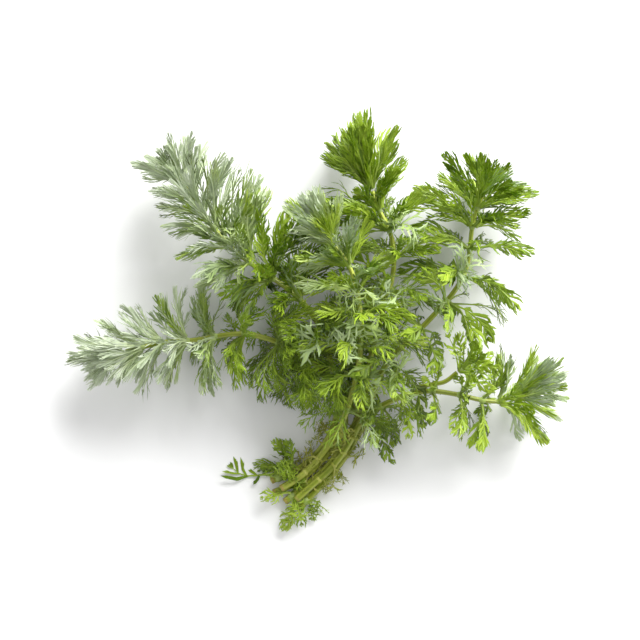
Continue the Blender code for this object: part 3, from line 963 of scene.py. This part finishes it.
def plant_material(name, greens, silvers, vein, rims, special, through, see_through):
    """Leaf flesh: mottled, darker at the leaf bases as painted shade, paler along the veins,
    duller at the rims, with light through it.
    """
    nodes = Nodes(name)
    along, across, chance = nodes.values("fine")
    tone, silver, mint = nodes.values("tint")

    # Green and silver from dark to light: by segment, in patches, by leaf, and towards the tips,
    # the darker leaf bases being painted shade
    patches = nodes.spread(nodes.noise(PATCHES), 0.32, 0.68)
    grain = nodes.noise(GRAIN)
    depth = nodes.math("MULTIPLY_ADD", chance, 0.55, nodes.math("MULTIPLY", patches, 0.3))
    depth = nodes.math("ADD", depth, nodes.math("MULTIPLY_ADD", tone, 1.0, -0.5))
    # Painted shade: leaf bases, deep in the whorl, are darker and tips lighter
    depth = nodes.math("MULTIPLY_ADD", nodes.math("POWER", along, 2.0), 0.16, depth)
    flesh = nodes.ramp(depth, greens)
    silvery = nodes.ramp(depth, silvers)

    # Silver comes in blots and first at the tips, and the special shade by segment
    blots = nodes.spread(nodes.noise(BLOTS, 1.0), 0.3, 0.7)
    dust = nodes.math("MULTIPLY_ADD", along, 0.6, nodes.math("MULTIPLY_ADD", blots, 0.8, -0.7))
    dust = nodes.math("MULTIPLY", nodes.math("GREATER_THAN", silver, 0.001), dust)
    flesh = nodes.mix(nodes.clamp(nodes.math("ADD", silver, dust)), flesh, silvery)
    share = nodes.math("MULTIPLY", mint, nodes.spread(chance, -0.3, 0.6))
    flesh = nodes.mix(share, flesh, special)

    # Paler along the ridge, duller at the rims towards the tip
    veins = nodes.math("POWER", nodes.math("SUBTRACT", 1.0, across), 2.0)
    base = nodes.mix(nodes.math("MULTIPLY", veins, 0.4), flesh, vein)
    rim = nodes.math("POWER", across, 3.0)
    rim = nodes.math("MULTIPLY", rim, nodes.math("MULTIPLY", along, 0.25))
    base = nodes.mix(rim, base, rims)

    # Half gloss with a fine grain, and some light let through
    shader = nodes.add("BsdfPrincipled")
    nodes.join(base, shader.inputs["Base Color"])
    nodes.join(nodes.math("MULTIPLY_ADD", grain, 0.3, 0.22), shader.inputs["Roughness"])
    shader.inputs["Specular IOR Level"].default_value = 0.4
    bump = nodes.add("Bump")
    bump.inputs["Strength"].default_value = 0.25
    bump.inputs["Distance"].default_value = 0.0001
    nodes.join(grain, bump.inputs["Height"])
    nodes.join(bump.outputs["Normal"], shader.inputs["Normal"])
    glow = nodes.add("BsdfTranslucent")
    nodes.join(nodes.mix(0.5, base, through), glow.inputs["Color"])
    both = nodes.add("MixShader")
    both.inputs[0].default_value = see_through
    nodes.join(shader.outputs[0], both.inputs[1])
    nodes.join(glow.outputs[0], both.inputs[2])
    output = nodes.add("OutputMaterial")
    nodes.join(both.outputs[0], output.inputs["Surface"])
    return nodes.material


def make_stage():
    """A pale table, a large soft light from the upper right and a camera above."""
    mesh = bpy.data.meshes.new("table")
    square = ((-1, -1), (1, -1), (1, 1), (-1, 1))
    corners = [(x * TABLE_REACH, y * TABLE_REACH, 0) for x, y in square]
    mesh.from_pydata(corners, [], [(0, 1, 2, 3)])
    table = bpy.data.objects.new("table", mesh)
    bpy.context.scene.collection.objects.link(table)
    nodes = Nodes("table_paint")
    shader = nodes.add("BsdfPrincipled")
    shader.inputs["Base Color"].default_value = (TABLE_SHADE, TABLE_SHADE, TABLE_SHADE, 1)
    shader.inputs["Roughness"].default_value = TABLE_ROUGHNESS
    output = nodes.add("OutputMaterial")
    nodes.join(shader.outputs[0], output.inputs["Surface"])
    mesh.materials.append(nodes.material)

    world = bpy.data.worlds.new("soft_room")
    bpy.context.scene.world = world
    world.use_nodes = True
    background = world.node_tree.nodes["Background"]
    background.inputs["Color"].default_value = (1, 1, 1, 1)
    background.inputs["Strength"].default_value = ROOM_LIGHT

    light = bpy.data.lights.new("key", "AREA")
    light.shape = "DISK"
    light.size = LAMP_SIZE
    light.energy = LAMP_POWER
    key = bpy.data.objects.new("key", light)
    key.location = LAMP_PLACE
    key.rotation_euler = (Vector((0, 0, 0)) - key.location).to_track_quat("-Z", "Y").to_euler()
    bpy.context.scene.collection.objects.link(key)

    camera = bpy.data.cameras.new("camera")
    camera.sensor_width = SENSOR
    camera.lens = SENSOR * CAMERA_HEIGHT / FIELD
    eye = bpy.data.objects.new("camera", camera)
    eye.location = (0, 0, CAMERA_HEIGHT)
    bpy.context.scene.collection.objects.link(eye)
    bpy.context.scene.camera = eye
    bpy.context.scene.view_settings.view_transform = "Standard"


# Leaf and stem colours from dark to light, the special shade of young leaves, and the
# browned rim of a cut
GREENS = (colour(56, 80, 2), colour(110, 142, 8), colour(152, 180, 30), colour(176, 198, 70))
SILVERS = (
    colour(128, 146, 104), colour(162, 178, 142), colour(194, 206, 178), colour(222, 230, 210),
)
MINT = colour(204, 222, 176)
CUT_BROWN = colour(170, 140, 84)
STEM_GREENS = (colour(104, 126, 12), colour(150, 164, 38), colour(186, 194, 90))

materials = {
    "leaf": plant_material(
        "leaf_flesh", GREENS, SILVERS, colour(196, 214, 104), colour(92, 104, 52), MINT,
        colour(176, 220, 10), 0.34,
    ),
    "silver_leaf": plant_material(
        "silver_leaf_flesh", GREENS, SILVERS, colour(214, 226, 170), colour(132, 138, 112),
        MINT, colour(200, 222, 120), 0.25,
    ),
    "stem": plant_material(
        "stem_skin", STEM_GREENS, STEM_GREENS, colour(206, 206, 116), colour(58, 76, 10),
        CUT_BROWN, colour(160, 170, 50), 0.1,
    ),
}

stem_nodes = sorted(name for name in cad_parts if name.startswith("stem_"))
shoots = [name.removeprefix("stem_") for name in stem_nodes]
stems = {shoot: Stem(f"stem_{shoot}", f"tip_{shoot}") for shoot in shoots}

for shoot in shoots:
    dress_stem(shoot)
    dress_whorl(f"tip_{shoot}", shoot, 0.0, "silver_leaf" if shoot in SILVER_WHORLS else "leaf")
    whorls = [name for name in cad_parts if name.startswith(f"whorl_{shoot}_")]
    for k in range(len(whorls)):
        slot = "silver_leaf" if k < SILVER_WHORLS.get(shoot, 0) else "leaf"
        dress_whorl(f"whorl_{shoot}_{k + 1}", shoot, (k + 1) / len(whorls), slot)
for name in BASE_DESIGNS:
    dress_whorl(name, "side", BASE_SHARE, "leaf")

make_stage()
